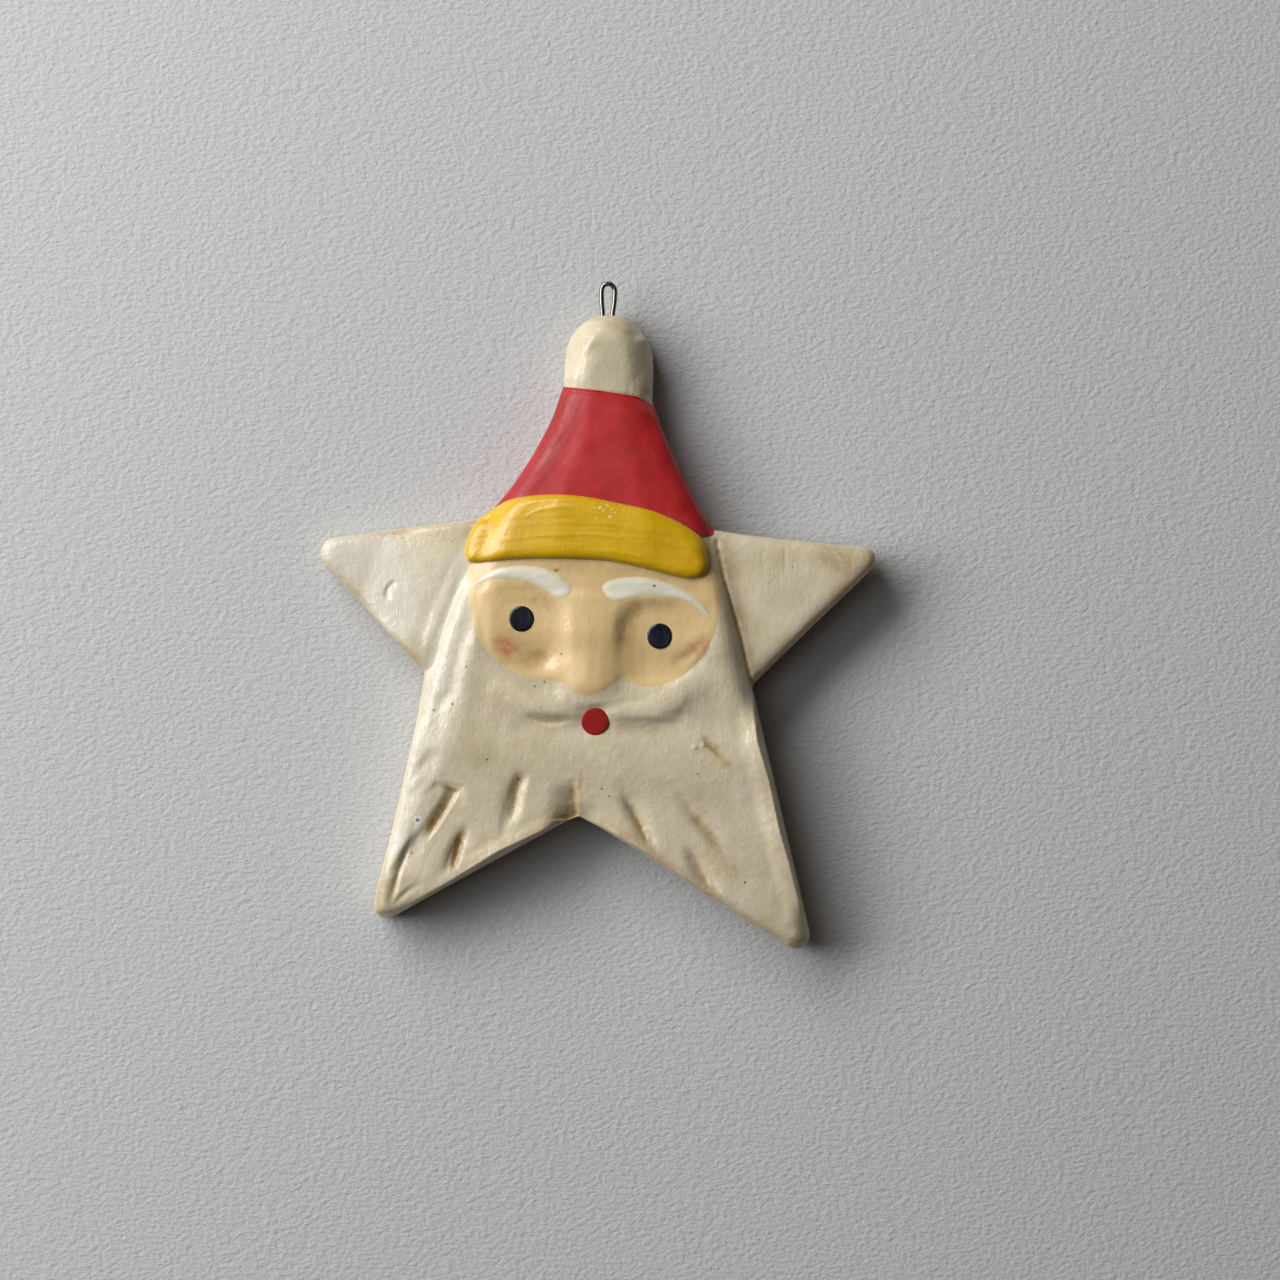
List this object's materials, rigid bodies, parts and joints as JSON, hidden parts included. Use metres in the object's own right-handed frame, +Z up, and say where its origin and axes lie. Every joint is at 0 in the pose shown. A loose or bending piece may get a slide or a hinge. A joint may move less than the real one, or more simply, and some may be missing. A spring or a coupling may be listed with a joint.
{
  "type": "star santa ornament",
  "caption": "Flat-backed star-shaped tree ornament carved and painted as a bearded old man in a pointed hat, hung from a wire eye.",
  "frame": {"origin": "where a hook bears inside the crown of the wire eye", "axes": "+Z up as it hangs, +X to the viewer's right, the carved front faces -Y and the flat back +Y"},
  "size_m": [0.0889, 0.0131, 0.1059],
  "materials": {
    "cream_paint": "satin varnish over cream paint, antiqued brown in the cuts",
    "white_paint": "brushed on thick, satin",
    "red_paint": "brushed, glossy varnish",
    "yellow_paint": "brushed on thick, glossy varnish",
    "flesh_paint": "satin varnish",
    "black_paint": "gloss",
    "steel_wire": "drawn wire, slightly dulled"
  },
  "bodies": {
    "root": {"star_body": "cream_paint", "hanger_loop": "steel_wire", "hat_coat": "red_paint", "hat_band": "yellow_paint", "face_coat": "flesh_paint", "eyebrow_left": "white_paint", "eyebrow_right": "white_paint", "eye_left": "black_paint", "eye_right": "black_paint", "mouth_dot": "red_paint"}
  },
  "joints": []
}
